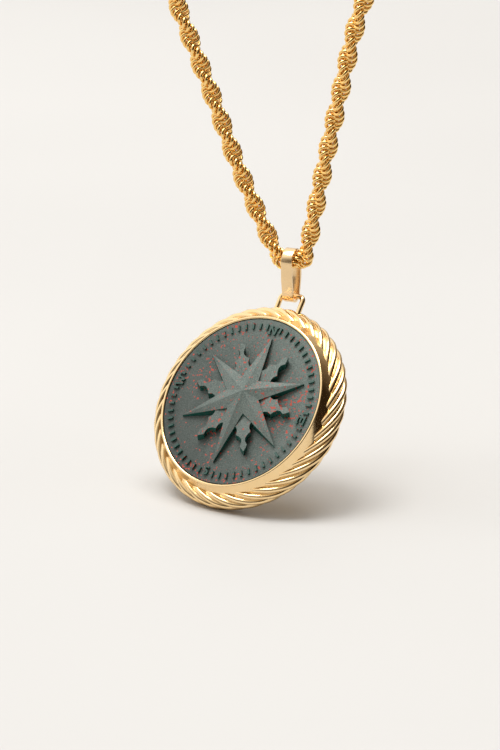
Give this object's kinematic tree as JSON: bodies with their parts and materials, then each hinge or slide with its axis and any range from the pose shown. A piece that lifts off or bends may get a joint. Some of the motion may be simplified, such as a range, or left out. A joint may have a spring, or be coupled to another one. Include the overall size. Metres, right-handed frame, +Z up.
{
  "type": "compass pendant necklace",
  "caption": "Round carved stone compass medallion in a rope-edged gold setting, swinging from a strip bail on a closed rope-chain necklace.",
  "frame": {"origin": "middle of the clasp's barrel, where the chain lies on the back of the neck", "axes": "+Z up, the pendant hangs in front towards -Y, +X to the wearer's left"},
  "size_m": [0.1146, 0.1298, 0.1946],
  "materials": {
    "green_stone": "matte dark green jasper with red flecks",
    "polished_gold": "polished warm yellow gold",
    "satin_gold": "satin pale gold strip",
    "chain_gold": "polished yellow gold links",
    "clasp_gold": "polished yellow gold"
  },
  "bodies": {
    "chain": {"rope_chain": "chain_gold", "clasp": "clasp_gold"},
    "bail": {"bail": "satin_gold"},
    "medallion": {"carved_stone": "green_stone", "setting": "polished_gold"}
  },
  "joints": [
    {"name": "bail_swing", "type": "hinge", "parent": "chain", "child": "bail", "pos_m": [0, -0.112, -0.168], "axis": [1, 0, 0], "range_deg": [-75, 75]},
    {"name": "medallion_swing", "type": "hinge", "parent": "bail", "child": "medallion", "pos_m": [0, -0.112, -0.1719], "axis": [0.9744, -0.225, 0], "range_deg": [-53.5, 126.5]}
  ]
}
